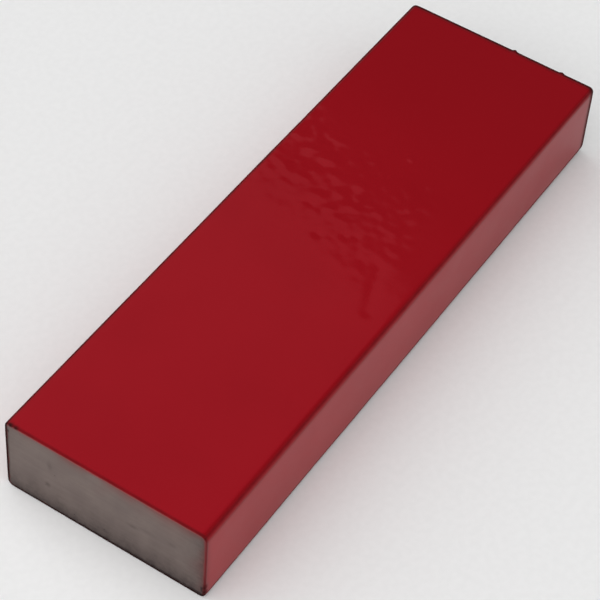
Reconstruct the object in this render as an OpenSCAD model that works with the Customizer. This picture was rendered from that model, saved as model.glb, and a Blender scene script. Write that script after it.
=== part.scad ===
// Rectangular bar magnet: a cast alnico block, coated with red lacquer on its four long
// faces, with both pole faces ground bare. Millimetres. X runs along the magnetised length,
// Y across the width and Z up through the thickness. The origin is the middle of the
// underside, over the lacquer.

/* [Bar] */
// Length from pole face to pole face
bar_l = 80; // [40:1:120]
// Width over the lacquer
bar_w = 25.2; // [12:0.2:40]
// Thickness over the lacquer
bar_h = 10.4; // [5:0.1:20]

/* [Edges] */
// Radius of the four long edges, over the lacquer
edge_r = 0.9; // [0.7:0.1:2]
// Bevel where the long faces meet a pole face, over the lacquer
end_bevel = 0.2; // [0.1:0.05:0.35]

/* [Lacquer] */
// Thickness of the lacquer film
film_t = 0.2; // [0.05:0.05:0.2]
// Colour of the lacquer
film_color = "firebrick"; // [firebrick, crimson, darkred]

/* [Hidden] */
$fn = 64;
core_color = "dimgray";

// The casting is one film thinner all round, and as long, because the poles are ground bare.
core_w = bar_w - 2 * film_t;
core_h = bar_h - 2 * film_t;
core_r = edge_r - film_t;
// The film keeps its thickness over the 45 degree bevel, so the bevel under it is longer.
core_bevel = end_bevel + film_t * (sqrt(2) - 1);

// Outline of a bar l long and d deep, with its four corners cut back by b.
module bevelled_outline(l, d, b) {
    x = l / 2;
    y = d / 2;
    polygon([
        [b - x, -y], [x - b, -y], [x, b - y], [x, y - b],
        [x - b, y], [b - x, y], [-x, y - b], [-x, b - y],
    ]);
}

// A rod along X, of radius r, with both ends bevelled by b.
module bevelled_rod(l, r, b) {
    rotate([0, 90, 0])
        rotate_extrude()
            polygon([
                [0, -l / 2], [r - b, -l / 2], [r, b - l / 2],
                [r, l / 2 - b], [r - b, l / 2], [0, l / 2],
            ]);
}

// A bar centred on the origin, with round long edges of radius r and ends bevelled by b.
module rounded_bar(l, w, h, r, b) {
    rotate([90, 0, 0])
        linear_extrude(height = w - 2 * r, center = true)
            bevelled_outline(l, h, b);
    linear_extrude(height = h - 2 * r, center = true)
        bevelled_outline(l, w, b);
    for (y = [-1, 1], z = [-1, 1])
        translate([0, y * (w / 2 - r), z * (h / 2 - r)])
            bevelled_rod(l, r, b);
}

// The block under the lacquer.
module core_shape() {
    rounded_bar(bar_l, core_w, core_h, core_r, core_bevel);
}

// Cast alnico block, magnetised along X.
module magnet_core() {
    color(core_color)
        translate([0, 0, bar_h / 2])
            core_shape();
}

// Lacquer film round the four long faces, open at both pole faces.
module lacquer_coat() {
    color(film_color)
        translate([0, 0, bar_h / 2])
            difference() {
                rounded_bar(bar_l, bar_w, bar_h, edge_r, end_bevel);
                core_shape();
            }
}

magnet_core();
lacquer_coat();
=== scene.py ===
"""Looks for a rectangular bar magnet: a cast alnico block under a coat of red lacquer."""

import math

import bpy
import numpy as np
from mathutils import Matrix, Vector


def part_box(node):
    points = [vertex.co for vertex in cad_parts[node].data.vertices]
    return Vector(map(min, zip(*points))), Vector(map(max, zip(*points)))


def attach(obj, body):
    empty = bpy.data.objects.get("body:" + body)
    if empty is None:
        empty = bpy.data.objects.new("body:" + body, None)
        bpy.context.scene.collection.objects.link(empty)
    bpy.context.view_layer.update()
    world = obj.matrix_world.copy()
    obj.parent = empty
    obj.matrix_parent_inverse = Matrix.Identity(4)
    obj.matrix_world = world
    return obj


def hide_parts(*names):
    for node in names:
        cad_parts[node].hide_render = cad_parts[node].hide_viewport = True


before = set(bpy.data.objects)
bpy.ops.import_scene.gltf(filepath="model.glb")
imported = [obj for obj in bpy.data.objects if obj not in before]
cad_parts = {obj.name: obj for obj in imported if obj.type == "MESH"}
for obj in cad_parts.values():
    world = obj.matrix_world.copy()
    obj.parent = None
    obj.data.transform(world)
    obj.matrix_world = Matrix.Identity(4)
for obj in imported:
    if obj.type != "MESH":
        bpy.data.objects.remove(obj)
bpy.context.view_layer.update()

MM = 0.001  # the frame is in metres; sizes below are written in millimetres times MM

bar_lo, bar_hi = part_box("lacquer_coat")
_, core_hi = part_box("magnet_core")
HALF_L = (bar_hi.x - bar_lo.x) / 2
HALF_W = (bar_hi.y - bar_lo.y) / 2
HALF_H = (bar_hi.z - bar_lo.z) / 2
MID_Z = (bar_hi.z + bar_lo.z) / 2
FILM = bar_hi.y - core_hi.y  # thickness of the lacquer

# Radius of each long edge at the near pole (-X) and at the far pole (+X). The edges come in
# the order of the outline: it starts on the right side (-Y) and runs over the top.
EDGE_RADII = [
    (0.9 * MM, 0.65 * MM),  # top right
    (0.6 * MM, 0.8 * MM),  # top left
    (0.8 * MM, 1.0 * MM),  # bottom left
    (0.6 * MM, 1.1 * MM),  # bottom right
]
EDGE_WEAR_AND_SHADE = [0.43, 1.0, 1.0, 1.0]  # how dark each of them is painted: partly thin film over the metal, partly painted shade
TOP_RIGHT, BOTTOM_RIGHT = 0, 3  # their places in these lists
# The darkening of those two spills over on to the right side as painted shade: the share of it
# that is left where the side begins, and the distance in which it fades there.
TOP_SPILL, TOP_SPILL_DEPTH = 0.75, 0.40 * MM
FOOT_SPILL, FOOT_SPILL_DEPTH = 0.55, 0.20 * MM
EDGE_STEPS = 10  # faces round one long edge
SMALLEST_RADIUS = 0.12 * MM  # an inset edge is never sharper than this

# Radius where the long faces turn over on to the near and the far pole face
NEAR_NOSE, FAR_NOSE = 0.15 * MM, 0.35 * MM
NOSE_STEPS = 6  # faces round that turn

# The ripples lie in a band across the top: its X in the middle, how far it slants to the
# far pole for each step to the left, and how far it spreads either way.
RIPPLE_X = 8 * MM
RIPPLE_SLANT = 0.4
RIPPLE_SPREAD = 8.5 * MM


# ---------------------------------------------------------------- numbers and fields

def waves(points, seed, wavelength, count=48):
    """A smooth random field, about -1 to 1, over 3-D points (N, 3).

    It is a sum of plane waves of about one wavelength. Each seed gives another field.
    """
    rng = np.random.default_rng(seed)
    direction = rng.normal(size=(count, 3))
    direction /= np.linalg.norm(direction, axis=1)[:, None]
    length = wavelength * rng.uniform(0.75, 1.35, count)
    phase = rng.uniform(0, 2 * math.pi, count)
    turns = points @ (direction / length[:, None] * 2 * math.pi).T + phase
    return np.sin(turns).sum(1) / math.sqrt(count)


def smoothstep(x, low, high):
    """0 below low, 1 above high, and a smooth step between."""
    t = np.clip((x - low) / (high - low), 0, 1)
    return t * t * (3 - 2 * t)


def fade(distance, depth):
    """1 up to distance 0, then less and less: about a third is left after each depth."""
    return np.exp(-np.maximum(distance, 0) / depth)


STEP_GROWTH = 1.35  # how much longer each step between vertices is than the last


def graded(length, fine, coarse):
    """Shares, 0 to 1, of a length: steps grow from fine at both ends to coarse."""
    half, step = [0.0], fine
    while half[-1] + step < length / 2:
        half.append(half[-1] + step)
        step = min(step * STEP_GROWTH, coarse)
    half = np.array(half) / (2 * half[-1])
    return np.concatenate([half, (1 - half[:-1])[::-1]])


# Where the vertices lie along the top, the left side, the underside and the right side
FLAT_SHARES = [
    graded(2 * HALF_W, 0.09 * MM, 0.27 * MM),
    graded(2 * HALF_H, 0.09 * MM, 0.40 * MM),
    graded(2 * HALF_W, 0.12 * MM, 0.80 * MM),
    graded(2 * HALF_H, 0.09 * MM, 0.40 * MM),
]


# ---------------------------------------------------------------- outline of the bar

def edge_radii(inset, share):
    """The four edges' radii, inset by a distance, share of the way from near to far pole."""
    return [max(near + (far - near) * share - inset, SMALLEST_RADIUS) for near, far in EDGE_RADII]


def outline(inset, share):
    """The bar's cross-section, inset by a distance, share of the way from near to far pole.

    Returns points (N, 2) in Y and Z about the middle, outward normals (N, 2), each point's
    distance from the nearest rounded edge, and its wear and painted shade. That is most half way
    round an edge and 0 on the flats, but for the painted shade that spills over on to the right
    side. Every call gives the same number of points.
    """
    a, b = HALF_W - inset, HALF_H - inset
    corners = [(-a, b, 180), (a, b, 90), (a, -b, 0), (-a, -b, 270)]
    radii = edge_radii(inset, share)
    centres = [
        np.array([y - math.copysign(r, y), z - math.copysign(r, z)])
        for (y, z, _), r in zip(corners, radii)
    ]
    points, normals, reach, wear_and_shade = [], [], [], []
    for i, (_, _, start) in enumerate(corners):
        for k in range(EDGE_STEPS + 1):
            angle = math.radians(start - 90 * k / EDGE_STEPS)
            n = np.array([math.cos(angle), math.sin(angle)])
            points.append(centres[i] + radii[i] * n)
            normals.append(n)
            reach.append(0.0)
            turned = k / EDGE_STEPS
            spill = 0.0
            if i == TOP_RIGHT:
                spill = (1 - turned) * TOP_SPILL
            elif i == BOTTOM_RIGHT:
                spill = turned * FOOT_SPILL
            wear_and_shade.append(max(1 - abs(2 * turned - 1), spill) * EDGE_WEAR_AND_SHADE[i])
        here = points[-1]
        there = centres[(i + 1) % 4] + radii[(i + 1) % 4] * n
        length = np.linalg.norm(there - here)
        for t in FLAT_SHARES[i][1:-1]:
            points.append(here + (there - here) * t)
            normals.append(n)
            reach.append(min(t, 1 - t) * length)
            # the right side runs up from the bottom right edge to the top right one
            # painted shade on the right side, fading from its top and bottom edges
            top = fade((1 - t) * length, TOP_SPILL_DEPTH) * TOP_SPILL * EDGE_WEAR_AND_SHADE[TOP_RIGHT]
            foot = fade(t * length, FOOT_SPILL_DEPTH) * FOOT_SPILL * EDGE_WEAR_AND_SHADE[BOTTOM_RIGHT]
            wear_and_shade.append(max(top, foot) if i == BOTTOM_RIGHT else 0.0)
    return np.array(points), np.array(normals), np.array(reach), np.array(wear_and_shade)


def mesh_object(name, verts, quads):
    """A smooth-shaded object of points (N, 3) and four-cornered faces (M, 4)."""
    mesh = bpy.data.meshes.new(name)
    mesh.vertices.add(len(verts))
    mesh.vertices.foreach_set("co", verts.astype(np.float32).ravel())
    mesh.loops.add(len(quads) * 4)
    mesh.loops.foreach_set("vertex_index", quads.astype(np.int32).ravel())
    mesh.polygons.add(len(quads))
    mesh.polygons.foreach_set("loop_start", np.arange(len(quads), dtype=np.int32) * 4)
    mesh.polygons.foreach_set("use_smooth", np.ones(len(quads), bool))
    mesh.update(calc_edges=True)
    mesh.validate()
    piece = bpy.data.objects.new(name, mesh)
    bpy.context.scene.collection.objects.link(piece)
    return piece


def sleeve_quads(count, n):
    """Faces that join count rings of n points, and the last ring to the first."""
    ring, k = np.meshgrid(np.arange(count), np.arange(n), indexing="ij")
    after, beside = (ring + 1) % count, (k + 1) % n
    quads = [ring * n + k, after * n + k, after * n + beside, ring * n + beside]
    return np.stack([q.ravel() for q in quads], 1)


def point_values(piece, name, values):
    """Keeps a number for each vertex, which the piece's material reads by name."""
    layer = piece.data.attributes.new(name, "FLOAT", "POINT")
    layer.data.foreach_set("value", values.astype(np.float32))


# ---------------------------------------------------------------- painted shade and dirt on the pole faces

# Smudges on the near pole face: Y, Z, half width, half height, darkness.
SMUDGES = [
    (6.9 * MM, 7.2 * MM, 0.30 * MM, 0.75 * MM, 0.26),
    (7.2 * MM, 3.9 * MM, 0.38 * MM, 0.42 * MM, 0.46),
    (-3.6 * MM, 5.2 * MM, 0.75 * MM, 0.35 * MM, 0.30),
    (-5.3 * MM, 5.7 * MM, 1.30 * MM, 0.40 * MM, 0.18),
    (-8.4 * MM, 5.9 * MM, 0.55 * MM, 0.32 * MM, 0.26),
    (2.6 * MM, 2.6 * MM, 2.40 * MM, 1.20 * MM, 0.22),
    (12.15 * MM, 9.2 * MM, 0.16 * MM, 0.32 * MM, 0.95),
    (-12.15 * MM, 1.3 * MM, 0.22 * MM, 0.90 * MM, 1.00),
]


def pole_dirt_and_shade(p):
    """0 to 1: how dark a pole face is painted at points p (N, 3): painted shade, mostly along its
    lower edge, and smudges of dirt.
    """
    y, z = p[:, 1], p[:, 2] - bar_lo.z
    from_left, from_right = HALF_W - y, HALF_W + y
    right = smoothstep(-y, -HALF_W, HALF_W)
    # painted shade: a soft band along the foot, deeper towards the right, and its depth wanders
    depth = (1.75 + 0.15 * right) * MM * (1 + 0.16 * waves(p * [0, 1, 0.3], 61, 2.2 * MM))
    band = 0.85 * fade(z - 0.1 * MM, depth)
    # painted shade: black right at the foot
    foot = (0.35 + 0.25 * right) * MM
    band = np.maximum(band, fade(z - foot, 0.25 * MM))
    # painted shade: a black line along the left edge, and a faint shade beside it
    left_edge = fade(from_left - 0.32 * MM, 0.15 * MM)
    left_edge = np.maximum(left_edge, 0.16 * fade(from_left, 2.5 * MM))
    # painted shade: a shade along the right edge, and a line on it that is darkest at the foot
    right_edge = 0.55 * fade(from_right, 1.5 * MM)
    right_line = 0.25 + 0.75 * fade(z, 3.5 * MM)
    right_line *= fade(from_right - 0.3 * MM, 0.15 * MM)
    right_edge = np.maximum(right_edge, right_line)
    dirt_and_shade = np.maximum(np.maximum(band, left_edge), right_edge)
    # smudges of dirt on the near pole face
    near = p[:, 0] < 0
    for cy, cz, half_w, half_h, dark in SMUDGES:
        away = ((y - cy) / half_w) ** 2 + ((z - cz) / half_h) ** 2
        dirt_and_shade = np.maximum(dirt_and_shade, dark * np.exp(-away) * near)
    return np.clip(dirt_and_shade, 0, 1)


def lacquer_stain(p):
    """0 to 1: how far lacquer has crept on to a pole face, from its top and its right edge."""
    y, z = p[:, 1], p[:, 2]
    wander = 1 + 0.35 * waves(p * [0, 1, 1], 62, 2.6 * MM)
    right = smoothstep(-y, -HALF_W, 0.6 * HALF_W)
    top_depth = (0.25 + 0.40 * right) * MM * wander  # it crept in deeper towards the right
    right_depth = 0.45 * MM * wander
    stain = 0.95 * fade(HALF_H + MID_Z - z - FILM, top_depth)
    stain = np.maximum(stain, 0.85 * fade(HALF_W + y - FILM, right_depth))
    return np.clip(stain, 0, 1)


# ---------------------------------------------------------------- lacquer

# Small lumps and craters in the lacquer: X and Y on the top face, radius, height.
TOP_MARKS = [
    (16.8 * MM, -1.3 * MM, 0.34 * MM, 0.034 * MM),
    (0.8 * MM, 1.0 * MM, 0.50 * MM, -0.034 * MM),
    (2.3 * MM, -1.6 * MM, 0.45 * MM, -0.026 * MM),
    (2.9 * MM, -2.6 * MM, 0.42 * MM, -0.026 * MM),
    (4.3 * MM, 4.3 * MM, 0.50 * MM, -0.022 * MM),
    (4.8 * MM, 2.2 * MM, 0.55 * MM, 0.022 * MM),
    (6.3 * MM, -0.4 * MM, 0.50 * MM, 0.018 * MM),
    (7.1 * MM, 7.3 * MM, 0.60 * MM, 0.020 * MM),
    (9.7 * MM, 0.9 * MM, 0.60 * MM, 0.022 * MM),
    (11.7 * MM, 8.5 * MM, 0.55 * MM, 0.020 * MM),
    (9.9 * MM, -5.2 * MM, 0.50 * MM, 0.020 * MM),
    (7.4 * MM, -2.7 * MM, 0.60 * MM, 0.018 * MM),
    (5.8 * MM, -5.8 * MM, 0.60 * MM, 0.018 * MM),
    (-20.4 * MM, -9.7 * MM, 0.45 * MM, -0.022 * MM),
]
# A brush mark: a shallow groove on the top face, from one X and Y to another.
BRUSH_START, BRUSH_END = (-5.6 * MM, -9.6 * MM), (0.4 * MM, -7.0 * MM)
BRUSH_WIDTH, BRUSH_DEPTH = 0.75 * MM, 0.028 * MM
# Specks caught on the far top arris: Y, radius, height. They are SPECK_INSET from the pole face.
ARRIS_SPECKS = [(-1.8 * MM, 0.22 * MM, 0.32 * MM), (-8.2 * MM, 0.20 * MM, 0.30 * MM)]
SPECK_INSET = 0.25 * MM
# Spots on the edges where the lacquer has gone and the metal is dark: X, Y, Z, radius.
BARE_SPOTS = [
    (-40.0 * MM, 11.8 * MM, 10.3 * MM, 0.35 * MM),
    (-40.0 * MM, 11.1 * MM, 10.3 * MM, 0.30 * MM),
    (-40.0 * MM, -12.4 * MM, 10.1 * MM, 0.20 * MM),
    (-40.0 * MM, -12.5 * MM, 1.0 * MM, 0.55 * MM),
    (-40.0 * MM, -12.5 * MM, 1.9 * MM, 0.50 * MM),
    (-40.0 * MM, -12.2 * MM, 0.3 * MM, 0.50 * MM),
    (39.8 * MM, -12.3 * MM, 10.1 * MM, 0.45 * MM),
]
ROLL_WIDTH = 0.35 * MM  # the faces' roll-off fades in this distance from an edge


def brush_mark(x, y):
    """1 along the middle of the brush mark, falling to 0 beside it."""
    (x0, y0), (x1, y1) = BRUSH_START, BRUSH_END
    length = math.hypot(x1 - x0, y1 - y0)
    ux, uy = (x1 - x0) / length, (y1 - y0) / length
    along = np.clip((x - x0) * ux + (y - y0) * uy, 0, length)
    away = (x - x0 - along * ux) ** 2 + (y - y0 - along * uy) ** 2
    return np.exp(-away / BRUSH_WIDTH**2)


def lacquer_relief(p, reach, top):
    """How far the lacquer stands off its mean surface, at points p (N, 3)."""
    x, y = p[:, 0], p[:, 1]
    end = HALF_L - np.abs(x)
    # lacquer draws back from every edge, so the faces roll off towards them, most of all where
    # the right side meets the near pole
    roll = -0.02 * MM * fade(reach, ROLL_WIDTH) - 0.012 * MM * fade(end, ROLL_WIDTH)
    right = smoothstep(-y, HALF_W - 0.9 * MM, HALF_W - 0.2 * MM) * (1 - top)
    roll -= 0.055 * MM * fade(end, ROLL_WIDTH) * right * (x < 0)
    # long shallow waves run over all the faces
    sway = 0.010 * MM * waves(p, 11, 17 * MM) + 0.003 * MM * waves(p, 12, 6 * MM)
    # ripples lie thickest in a band that crosses the top on a slant, and thin out to the right
    band = x - RIPPLE_X - RIPPLE_SLANT * y
    there = np.exp(-((band / RIPPLE_SPREAD) ** 2)) * smoothstep(y, -10 * MM, -5 * MM) * top
    patch = smoothstep(waves(p, 13, 8 * MM), -0.9, 0.5)
    ripple = (0.0006 * MM + 0.0115 * MM * there * patch) * waves(p, 14, 1.9 * MM)
    ripple += (0.0002 * MM + 0.0028 * MM * there) * waves(p, 15, 1.05 * MM)
    lumps = -BRUSH_DEPTH * brush_mark(x, y) * top
    for cx, cy, radius, height in TOP_MARKS:
        away = (x - cx) ** 2 + (y - cy) ** 2
        lumps += height * np.exp(-away / radius**2) * top
    for cy, radius, height in ARRIS_SPECKS:
        away = (x - HALF_L + SPECK_INSET) ** 2 + (y - cy) ** 2
        lumps += height * np.exp(-away / radius**2) * top
    return roll + sway + ripple + lumps


# The lip of the film over the metal: how deep behind the pole face, how far under the film.
LIP = [(0.02 * MM, 0.02 * MM), (0.07 * MM, 0.03 * MM)]
FINE_RING, COARSE_RING = 0.06 * MM, 0.42 * MM  # ring spacing at the poles, and between them
RING_GROWTH = 0.3  # the spacing grows by this much of the distance from a pole
RIPPLE_RING, RIPPLE_REACH = 0.25 * MM, 16 * MM  # ring spacing near the ripples, and how near
INNER_RINGS = 8  # rings inside the film
INNER_END = 1.0 * MM  # distance of the last of them from a pole
INNER_GAP = 0.02 * MM  # how much deeper they lie than the film is thick


def nose(radius):
    """Profile from a long face on to a pole face: (distance from the pole, inset) pairs.

    A quarter circle, the flat cut edge of the film, and a lip that turns in over the metal.
    """
    turns = [math.radians(90 * k / NOSE_STEPS) for k in range(NOSE_STEPS + 1)]
    arc = [(radius * (1 - math.sin(t)), radius * (1 - math.cos(t))) for t in turns]
    cut = [(0.0, radius + FILM * 0.5), (0.0, radius + FILM)]
    lip = [(deep, radius + FILM + under) for deep, under in LIP]
    return arc + cut + lip


def film_stations(start, end):
    """Distances of the film's rings from the near pole, between two noses."""
    places = [start]
    while places[-1] < end:
        x = places[-1]
        step = min(FINE_RING + RING_GROWTH * max(min(x - start, end - x), 0), COARSE_RING)
        if abs(x - HALF_L - RIPPLE_X) < RIPPLE_REACH:
            step = RIPPLE_RING
        places.append(x + step)
    places = np.array(places)
    return start + (places - start) * (end - start) / (places[-1] - start)


def film_profile():
    """The film's surface from ring to ring: (distance from the near pole, inset) pairs.

    It goes along the outside from the near pole, over the far rim and back along the inside.
    """
    length = 2 * HALF_L
    near, far = nose(NEAR_NOSE), nose(FAR_NOSE)
    outer = [(x, 0.0) for x in film_stations(near[0][0], length - far[0][0])[1:-1]]
    inside = FILM + INNER_GAP
    run = (length - 2 * INNER_END) / (INNER_RINGS - 1)
    inner = [(length - INNER_END - run * k, inside) for k in range(INNER_RINGS)]
    return near[::-1] + outer + [(length - x, inset) for x, inset in far] + inner


def worn_and_shaded_lacquer(p, normal, edge_wear_and_shade, end, turn, outer):
    """0 to 1: how dark and dull the lacquer is, along the long edges and next to the poles: partly
    thin film over the metal, partly painted shade.
    """
    arris = smoothstep(edge_wear_and_shade, 0.0, 0.7) * outer
    near = p[:, 0] < 0
    right = np.clip(-normal[:, 1], 0, 1)
    # painted shade next to the poles: next to the near pole it is fainter, and on the right side it
    # reaches in deeper
    reach_in = 0.2 * MM + 1.3 * turn + 0.35 * MM * ~near + 0.8 * MM * near * right
    pole_arris = (1 - smoothstep(end, 0.5 * turn, reach_in)) * outer
    pole_arris *= np.where(near, 0.7 - 0.32 * right, 1.0)
    return np.maximum(arris, pole_arris)


def dirty_and_shaded_lacquer(p, normal, end):
    """0 to 1: how dark the lacquer is painted: painted shade by the pole faces and on the far rim,
    and dark bare spots.
    """
    # the pole faces' painted shade reaches a little way on to the lacquer
    dirt_and_shade = pole_dirt_and_shade(p) * (1 - smoothstep(end, 0.1 * MM, 0.4 * MM))
    # painted shade: the far rim is dark right over its turn, and deeper on the sides
    rim_depth = (0.7 + 0.9 * np.abs(normal[:, 1])) * MM
    rim = 0.8 * (1 - smoothstep(end, 0.3 * rim_depth, rim_depth)) * (p[:, 0] > 0)
    bare = np.zeros(len(p))
    for x, y, z, radius in BARE_SPOTS:
        away = (p[:, 0] - x) ** 2 + (p[:, 1] - y) ** 2 + (p[:, 2] - z) ** 2
        bare = np.maximum(bare, np.exp(-away / radius**2))
    return np.maximum(np.maximum(dirt_and_shade, rim), bare)


def make_lacquer():
    """The film: rings of points along its profile, moved by the relief, joined into a sleeve."""
    rings, normals, reach, edge_wear_and_shade, insets = [], [], [], [], []
    for x, inset in film_profile():
        flat, normal, ring_reach, ring_wear_and_shade = outline(inset, x / (2 * HALF_L))
        n = len(flat)
        rings.append(np.column_stack([np.full(n, x - HALF_L), flat[:, 0], flat[:, 1] + MID_Z]))
        normals.append(np.column_stack([np.zeros(n), normal]))
        reach.append(ring_reach)
        edge_wear_and_shade.append(ring_wear_and_shade)
        insets.append(np.full(n, inset))
    p, normal = np.concatenate(rings), np.concatenate(normals)
    reach, edge_wear_and_shade, inset = map(np.concatenate, (reach, edge_wear_and_shade, insets))
    end = HALF_L - np.abs(p[:, 0])
    turn = np.where(p[:, 0] < 0, NEAR_NOSE, FAR_NOSE)

    # the outside, up to where the turn meets the cut edge, and not the rings inside the film
    outer = inset < turn * 1.01
    outer &= (inset < 0.9 * FILM) | (end < 0.6 * MM)
    top = np.clip(normal[:, 2], 0, 1)
    level = 1 - smoothstep(inset, 0.3 * turn, turn)
    p += normal * (lacquer_relief(p, reach, top) * level * outer)[:, None]
    # the cut edge of the film is a little ragged
    cut = (inset > turn * 1.01) & (inset < turn + FILM * 1.2) & (end < 0.1 * MM)
    ragged = 0.04 * MM * waves(p, 21, 1.6 * MM) + 0.02 * MM * waves(p, 22, 0.6 * MM)
    p -= normal * (ragged * cut * smoothstep(inset - turn, 0, FILM))[:, None]
    p[:, 2] = np.maximum(p[:, 2], bar_lo.z)  # nothing stands out below the underside

    piece = mesh_object("lacquer_film", p, sleeve_quads(len(rings), len(rings[0])))
    point_values(piece, "arris", worn_and_shaded_lacquer(p, normal, edge_wear_and_shade, end, turn, outer))
    point_values(piece, "cut", cut)
    point_values(piece, "side", smoothstep(np.abs(normal[:, 1]), 0.6, 1.0))
    point_values(piece, "dirt_and_shade", dirty_and_shaded_lacquer(p, normal, end))
    return piece


# ---------------------------------------------------------------- metal

CORE_STEP = 0.085 * MM  # spacing of the metal's vertices on a pole face
# How far its rows and columns are drawn towards its edges, as shares of the way across
CROWD_ROWS, CROWD_COLS = 0.06, 0.02
UNDER_RIM = FILM * 0.6  # how far in from the outside of the film's cut edge the metal begins
BELOW_RIM = 0.008 * MM  # how far the metal lies below the film's cut edge
SIDE_START = 0.5 * MM  # distance from a pole at which the block's long sides are straight


def pole_face(rows, cols, inset, share):
    """A grid of points (rows, cols, 2) in Y and Z that fills the inset outline."""
    a, b = HALF_W - inset, HALF_H - inset
    top_right, top_left, bottom_left, bottom_right = edge_radii(inset, share)

    def half_width(z, upper, lower):
        """From the middle to the outline at height z; the edges' radii are upper and lower."""
        if z > b - upper:
            return a - upper + math.sqrt(max(upper**2 - (z - b + upper) ** 2, 0))
        if z < lower - b:
            return a - lower + math.sqrt(max(lower**2 - (lower - b - z) ** 2, 0))
        return a

    grid = np.zeros((rows, cols, 2))
    for i in range(rows):
        t = i / (rows - 1)
        t -= CROWD_ROWS * math.sin(2 * math.pi * t)
        z = -b + 2 * b * t
        left = half_width(z, top_left, bottom_left)
        right = half_width(z, top_right, bottom_right)
        s = np.arange(cols) / (cols - 1)
        s = s - CROWD_COLS * np.sin(2 * math.pi * s)
        grid[i, :, 0] = -right + (left + right) * s
        grid[i, :, 1] = z
    return grid


def border_of(rows, cols):
    """The grid's border as indices, in order."""
    bottom = list(range(cols))
    left = [i * cols + cols - 1 for i in range(1, rows)]
    top = [(rows - 1) * cols + j for j in range(cols - 2, -1, -1)]
    right = [i * cols for i in range(rows - 2, 0, -1)]
    return np.array(bottom + left + top + right)


def metal_relief(p, border, seed):
    """Relief of a ground pole face at points p (N, 3), and where its pores are, 0 to 1.

    border is each point's distance from the face's edge, where the relief fades out.
    """
    # grinding marks run along Y, so their field is stretched in Y
    marks = 0.0004 * MM * waves(p * [1.0, 0.03, 1.0], seed + 1, 0.35 * MM)
    marks *= smoothstep(waves(p, seed + 2, 6 * MM), -1, 1)
    swell = 0.010 * MM * waves(p, seed + 3, 9 * MM)
    pore_field = waves(p, seed + 4, 0.8 * MM) + 0.6 * waves(p, seed + 5, 4 * MM)
    pores = smoothstep(pore_field, 2.45, 3.2)
    relief = marks + swell - 0.04 * MM * pores
    return np.minimum(relief, 0) * smoothstep(border, 0.1 * MM, 0.5 * MM), pores


def make_core():
    """The block: a fine grid over each pole face, and long sides that join their borders."""
    length = 2 * HALF_L
    rows = round(2 * HALF_H / CORE_STEP)
    cols = round(2 * HALF_W / CORE_STEP)
    verts, quads, pores = [], [], []
    for side, inset in ((-1, NEAR_NOSE + UNDER_RIM), (1, FAR_NOSE + UNDER_RIM)):
        flat = pole_face(rows, cols, inset, (side + 1) / 2).reshape(-1, 2)
        face = np.column_stack([np.full(len(flat), side * HALF_L), flat[:, 0], flat[:, 1] + MID_Z])
        from_side = HALF_W - inset - np.abs(flat[:, 0])
        from_top = HALF_H - inset - np.abs(flat[:, 1])
        relief, pore = metal_relief(face, np.minimum(from_side, from_top), 40 + side)
        face[:, 0] += side * (relief - BELOW_RIM)
        verts.append(face)
        pores.append(pore)
        i, j = np.meshgrid(np.arange(rows - 1), np.arange(cols - 1), indexing="ij")
        k = (i * cols + j).ravel()
        corners = [k, k + 1, k + cols + 1, k + cols]
        if side < 0:
            corners.reverse()
        quads.append(np.stack(corners, 1) + (0 if side < 0 else rows * cols))
    # the long sides, from the border of one face to the border of the other
    border = border_of(rows, cols)
    n = len(border)
    base = 2 * rows * cols
    previous = border
    between = [length * k / 8 for k in (1, 3, 5, 7)]
    stations = [SIDE_START, *between, length - SIDE_START]
    for x in stations:
        ring = pole_face(rows, cols, FILM, x / length).reshape(-1, 2)[border]
        verts.append(np.column_stack([np.full(n, x - HALF_L), ring[:, 0], ring[:, 1] + MID_Z]))
        pores.append(np.zeros(n))
        here = base + np.arange(n)
        quads.append(np.stack([previous, np.roll(previous, -1), np.roll(here, -1), here], 1))
        previous = here
        base += n
    last = border + rows * cols
    quads.append(np.stack([previous, np.roll(previous, -1), np.roll(last, -1), last], 1))
    p = np.concatenate(verts)
    piece = mesh_object("alnico_block", p, np.concatenate(quads))
    point_values(piece, "pore", np.concatenate(pores))
    point_values(piece, "dirt_and_shade", pole_dirt_and_shade(p))
    point_values(piece, "stain", lacquer_stain(p))
    return piece


# ---------------------------------------------------------------- materials

def new_material(name):
    """(material, tree, its Principled node)"""
    material = bpy.data.materials.new(name)
    material.use_nodes = True
    tree = material.node_tree
    return material, tree, tree.nodes["Principled BSDF"]


def node(tree, kind, inputs=None, **settings):
    """Adds a node. inputs maps a socket's name or number to a value or another socket."""
    made = tree.nodes.new(kind)
    for key, value in settings.items():
        setattr(made, key, value)
    for key, value in (inputs or {}).items():
        if isinstance(value, bpy.types.NodeSocket):
            tree.links.new(value, made.inputs[key])
        else:
            made.inputs[key].default_value = value
    return made


def place(tree, stretch=(1, 1, 1)):
    """Object coordinates in millimetres, stretched."""
    source = node(tree, "ShaderNodeTexCoord").outputs["Object"]
    scale = [s / MM for s in stretch]
    return node(tree, "ShaderNodeMapping", {"Vector": source, "Scale": scale}).outputs[0]


def noise(tree, vector, wavelength, detail=2.0, rough=0.5):
    """Noise of about 0 to 1; the wavelength is in millimetres."""
    settings = {"Vector": vector, "Scale": 1 / wavelength, "Detail": detail, "Roughness": rough}
    return node(tree, "ShaderNodeTexNoise", settings).outputs["Fac"]


def spread(tree, value, low, high, to_low=0.0, to_high=1.0):
    """value from low..high to to_low..to_high, smoothly and clamped."""
    made = node(
        tree, "ShaderNodeMapRange",
        {"Value": value, "From Min": low, "From Max": high, "To Min": to_low, "To Max": to_high},
        interpolation_type="SMOOTHSTEP",
    )
    return made.outputs["Result"]


BUMP_HEIGHT = 0.0012 * MM  # depth of the fine texture of the lacquer and of the metal
NOISE_LOW, NOISE_HIGH = 0.3, 0.7  # most of the noise lies between these


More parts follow.
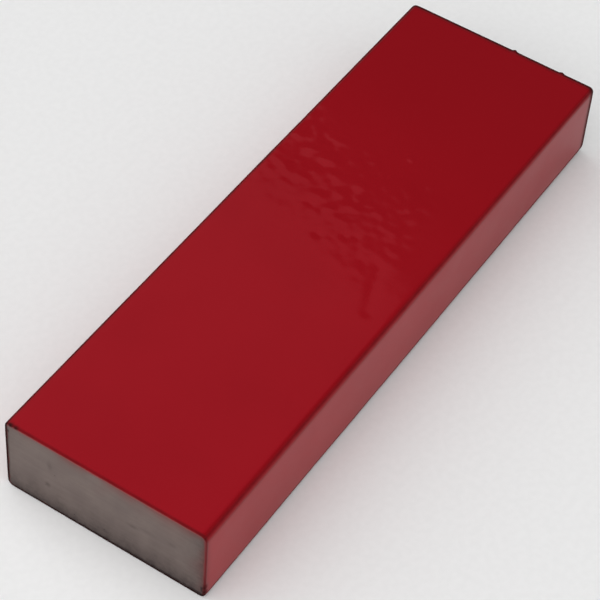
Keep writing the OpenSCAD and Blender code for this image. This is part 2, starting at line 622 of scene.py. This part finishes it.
def patchy(tree, vector, wavelength, to_low=0.0, to_high=1.0, detail=2.0, rough=0.5):
    """Noise that wanders between to_low and to_high; the wavelength is in millimetres."""
    field = noise(tree, vector, wavelength, detail, rough)
    return spread(tree, field, NOISE_LOW, NOISE_HIGH, to_low, to_high)


def blend(tree, share, first, second):
    """The first colour where share is 0, the second where it is 1."""
    made = node(tree, "ShaderNodeMix", data_type="RGBA")
    for key, value in ((0, share), (6, first), (7, second)):
        if isinstance(value, bpy.types.NodeSocket):
            tree.links.new(value, made.inputs[key])
        else:
            made.inputs[key].default_value = value
    return made.outputs[2]


def maths(tree, how, first, second):
    """One sum on two numbers or sockets."""
    return node(tree, "ShaderNodeMath", {0: first, 1: second}, operation=how).outputs[0]


def attribute(tree, name):
    """The number that point_values kept for each vertex."""
    return node(tree, "ShaderNodeAttribute", attribute_name=name).outputs["Fac"]


def lacquer_material():
    material, tree, shader = new_material("red_lacquer")
    at = place(tree)
    red = (0.300, 0.0058, 0.0108, 1)
    deep = (0.282, 0.0052, 0.0098, 1)
    far_shaded_red = (0.258, 0.0056, 0.0100, 1)
    thin_and_shaded_red = (0.055, 0.0045, 0.0050, 1)
    cut_red = (0.215, 0.058, 0.054, 1)
    grime_and_shade = (0.010, 0.007, 0.006, 1)
    side_haze = 0.25
    worn_roughness, cut_roughness = 0.95, 0.6
    arris, cut = attribute(tree, "arris"), attribute(tree, "cut")
    dirt_and_shade, side = attribute(tree, "dirt_and_shade"), attribute(tree, "side")

    colour = blend(tree, patchy(tree, at, 14.0), red, deep)
    # painted shade: the red is darker towards the far pole
    along = node(tree, "ShaderNodeSeparateXYZ", {0: at}).outputs["X"]
    colour = blend(tree, spread(tree, along, 0.0, 40.0), colour, far_shaded_red)
    # darker over the edges: partly the thin film over the dark metal, partly painted shade
    wear_and_shade = patchy(tree, at, 1.8, 0.70, 0.95, detail=3.0)
    colour = blend(tree, maths(tree, "MULTIPLY", arris, wear_and_shade), colour, thin_and_shaded_red)
    colour = blend(tree, cut, colour, cut_red)
    # painted shade by the pole faces and round the far rim, and dark bare spots
    colour = blend(tree, dirt_and_shade, colour, grime_and_shade)
    tree.links.new(colour, shader.inputs["Base Color"])

    # the narrow sides are less glossy than the broad faces
    haze = patchy(tree, at, 5.0, 0.06, 0.09, detail=3.0)
    haze = maths(tree, "ADD", haze, maths(tree, "MULTIPLY", side, side_haze))
    worn = maths(tree, "MULTIPLY", arris, worn_roughness)
    dull = maths(tree, "MAXIMUM", worn, maths(tree, "MULTIPLY", cut, cut_roughness))
    dull = maths(tree, "MAXIMUM", dull, dirt_and_shade)
    tree.links.new(maths(tree, "MAXIMUM", haze, dull), shader.inputs["Roughness"])
    # a red tint keeps white reflections from washing out the red
    shader.inputs["IOR"].default_value = 1.40
    shader.inputs["Specular Tint"].default_value = (1.0, 0.02, 0.08, 1)
    peel = noise(tree, at, 0.5, 1.0)
    bump = node(tree, "ShaderNodeBump", {"Height": peel, "Distance": BUMP_HEIGHT, "Strength": 1.0})
    tree.links.new(bump.outputs[0], shader.inputs["Normal"])
    return material


def metal_material():
    material, tree, shader = new_material("cast_alnico")
    at = place(tree)
    lay = place(tree, (1, 0.06, 1))  # the grinding marks are long in Y
    light = (0.228, 0.179, 0.162, 1)
    dark = (0.197, 0.153, 0.140, 1)
    stain_red = (0.235, 0.060, 0.056, 1)
    grime_and_shade = (0.030, 0.018, 0.018, 1)

    colour = blend(tree, patchy(tree, at, 4.0, detail=3.0), light, dark)
    fleck = spread(tree, noise(tree, at, 0.45, 4.0, 0.6), 0.35, 0.75, 0.0, 0.30)
    colour = blend(tree, fleck, colour, dark)
    colour = blend(tree, attribute(tree, "stain"), colour, stain_red)
    uneven = patchy(tree, at, 0.7, 0.78, 1.20, detail=4.0, rough=0.65)
    # painted shade along the pole faces' foot and edges, and smudges of dirt
    dirt_and_shade = maths(tree, "MULTIPLY", attribute(tree, "dirt_and_shade"), uneven)
    colour = blend(tree, dirt_and_shade, colour, grime_and_shade)
    # the pores are painted near-black
    colour = blend(tree, attribute(tree, "pore"), colour, grime_and_shade)
    tree.links.new(colour, shader.inputs["Base Color"])
    shader.inputs["Metallic"].default_value = 1.0
    roughness = patchy(tree, lay, 0.35, 0.50, 0.56, detail=3.0)
    tree.links.new(roughness, shader.inputs["Roughness"])
    grain = noise(tree, lay, 0.16, 3.0, 0.6)
    bump = node(tree, "ShaderNodeBump", {"Height": grain, "Distance": BUMP_HEIGHT, "Strength": 1.0})
    tree.links.new(bump.outputs[0], shader.inputs["Normal"])
    return material


def floor_material():
    material, tree, shader = new_material("paper")
    grey, light_grey = (0.88, 0.88, 0.88, 1), (0.90, 0.90, 0.90, 1)
    colour = blend(tree, patchy(tree, place(tree), 0.8, detail=3.0), grey, light_grey)
    tree.links.new(colour, shader.inputs["Base Color"])
    shader.inputs["Roughness"].default_value = 0.9
    shader.inputs["Specular IOR Level"].default_value = 0.1
    return material


# ---------------------------------------------------------------- studio

AIM = Vector((-8.44 * MM, -2.76 * MM, bar_hi.z))  # the camera looks at this point of the top
HEADING = math.radians(29.69)  # the way the camera looks, from +X towards +Y
ELEVATION = math.radians(48.43)
ROLL = math.radians(4.83)
DISTANCE = 253.08 * MM
LENS, SENSOR = 141.56, 36  # focal length and sensor width, in plain millimetres
NEAREST, FARTHEST = 1 * MM, 20  # the camera sees nothing nearer or farther, in metres

FLOOR_REACH = 6.0  # metres from the middle to an edge of the floor
FLOOR_DROP = 0.02 * MM  # so that the underside and the floor don't lie in one plane

# Where the world's white scrims lie, and how bright they and the room are. The bounds are
# cosines: 1 is the direction named, 0 is square to it.
OVERHEAD = (-0.792, 0.322, 0.518)
OVERHEAD_EDGE = 0.007  # half the width of the scrim's soft edge, which lies at 0
OVERHEAD_FALL, OVERHEAD_DIM, OVERHEAD_BRIGHT = 0.20, 0.75, 1.13  # it is dimmer near the edge
FRONT = (-0.96, -0.28, 0.0)
FRONT_FROM, FRONT_FULL = 0.05, 0.30  # where the front scrim begins and where it is fully white
HORIZON_FULL, HORIZON_END = 0.08, 0.15  # heights where the white round the horizon ends
ROOM = 0.07  # brightness of the dark room


def make_camera():
    data = bpy.data.cameras.new("camera")
    data.sensor_width = SENSOR
    data.lens = LENS
    data.clip_start, data.clip_end = NEAREST, FARTHEST
    camera = bpy.data.objects.new("camera", data)
    bpy.context.scene.collection.objects.link(camera)
    flat = math.cos(ELEVATION)
    forward = Vector((flat * math.cos(HEADING), flat * math.sin(HEADING), -math.sin(ELEVATION)))
    turn = forward.to_track_quat("-Z", "Y").to_matrix() @ Matrix.Rotation(ROLL, 3, "Z")
    camera.matrix_world = Matrix.Translation(AIM - forward * DISTANCE) @ turn.to_4x4()
    bpy.context.scene.camera = camera


def make_floor():
    r, z = FLOOR_REACH, bar_lo.z - FLOOR_DROP
    verts = np.array([(-r, -r, z), (r, -r, z), (r, r, z), (-r, r, z)])
    floor = mesh_object("floor", verts, np.array([[0, 1, 2, 3]]))
    floor.data.materials.append(floor_material())


def softbox(name, heading, elevation, distance, width, height, watts):
    """A rectangular lamp that looks at the bar from a heading and elevation in degrees."""
    data = bpy.data.lights.new(name, "AREA")
    data.shape = "RECTANGLE"
    data.size, data.size_y = width, height
    data.energy = watts
    lamp = bpy.data.objects.new(name, data)
    bpy.context.scene.collection.objects.link(lamp)
    h, e = math.radians(heading), math.radians(elevation)
    away = Vector((math.cos(e) * math.cos(h), math.cos(e) * math.sin(h), math.sin(e)))
    turn = away.to_track_quat("Z", "Y").to_matrix().to_4x4()
    lamp.matrix_world = Matrix.Translation(away * distance) @ turn
    lamp.visible_camera = False


def towards(tree, way, axis):
    """How far a direction points along an axis: the cosine between them."""
    inputs = {0: way, 1: Vector(axis).normalized()}
    return node(tree, "ShaderNodeVectorMath", inputs, operation="DOT_PRODUCT").outputs["Value"]


def make_world():
    """White scrims over and in front of the bar, and a dark room behind it.

    The top face mirrors the edge of a scrim across its middle, and the dark room beyond.
    """
    world = bpy.data.worlds.new("studio")
    bpy.context.scene.world = world
    world.use_nodes = True
    tree = world.node_tree
    way = node(tree, "ShaderNodeTexCoord").outputs["Generated"]
    over = towards(tree, way, OVERHEAD)
    fall = spread(tree, over, 0.0, OVERHEAD_FALL, OVERHEAD_DIM, OVERHEAD_BRIGHT)
    over = maths(tree, "MULTIPLY", spread(tree, over, -OVERHEAD_EDGE, OVERHEAD_EDGE), fall)
    front = spread(tree, towards(tree, way, FRONT), FRONT_FROM, FRONT_FULL)
    up = node(tree, "ShaderNodeSeparateXYZ", {0: way}).outputs["Z"]
    horizon = spread(tree, up, HORIZON_FULL, HORIZON_END, 1.0, 0.0)
    white = maths(tree, "MAXIMUM", maths(tree, "MAXIMUM", over, front), horizon)
    total = maths(tree, "MAXIMUM", white, ROOM)
    tree.nodes["Background"].inputs["Color"].default_value = (1, 1, 1, 1)
    tree.links.new(total, tree.nodes["Background"].inputs["Strength"])


# ---------------------------------------------------------------- the whole thing

make_camera()
make_floor()
make_world()
softbox("right", heading=-80, elevation=30, distance=0.9, width=0.7, height=0.5, watts=0.28)
softbox("front", heading=-165, elevation=45, distance=0.45, width=0.25, height=0.25, watts=0.12)

lacquer = make_lacquer()
lacquer.data.materials.append(lacquer_material())
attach(lacquer, "root")
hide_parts("lacquer_coat")

core = make_core()
core.data.materials.append(metal_material())
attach(core, "root")
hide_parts("magnet_core")

bpy.context.scene.view_settings.view_transform = "Standard"
